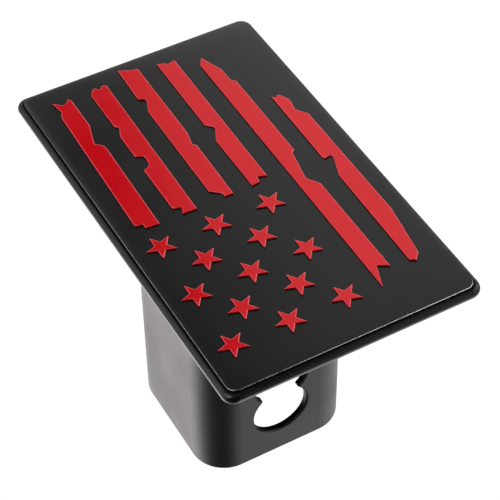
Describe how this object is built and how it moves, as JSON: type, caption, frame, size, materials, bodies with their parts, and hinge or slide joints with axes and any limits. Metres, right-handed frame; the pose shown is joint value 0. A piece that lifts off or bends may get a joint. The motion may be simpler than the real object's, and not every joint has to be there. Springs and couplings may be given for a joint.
{
  "type": "hitch receiver cover",
  "caption": "Rectangular cover with raised flag stars and stripes on its face, on a hollow square tube with a pin slot that plugs a trailer hitch receiver.",
  "frame": {"origin": "middle of the box round the cover, at the open end of its tube, where it stands", "axes": "+Z out of the face; X along the flag, stripes' far ends at +X; +Y up the flag"},
  "size_m": [0.127, 0.0762, 0.0889],
  "materials": {
    "black_moulding": "satin black moulding, fine even grain",
    "black_plate": "satin black paint",
    "red_trim": "satin red paint"
  },
  "bodies": {
    "root": {"base": "black_moulding", "face_plate": "black_plate", "star_01": "red_trim", "star_02": "red_trim", "star_03": "red_trim", "star_04": "red_trim", "star_05": "red_trim", "star_06": "red_trim", "star_07": "red_trim", "star_08": "red_trim", "star_09": "red_trim", "star_10": "red_trim", "star_11": "red_trim", "star_12": "red_trim", "star_13": "red_trim", "stripe_1": "red_trim", "stripe_2": "red_trim", "stripe_3": "red_trim", "stripe_4": "red_trim", "stripe_5": "red_trim", "stripe_6": "red_trim"}
  },
  "joints": []
}
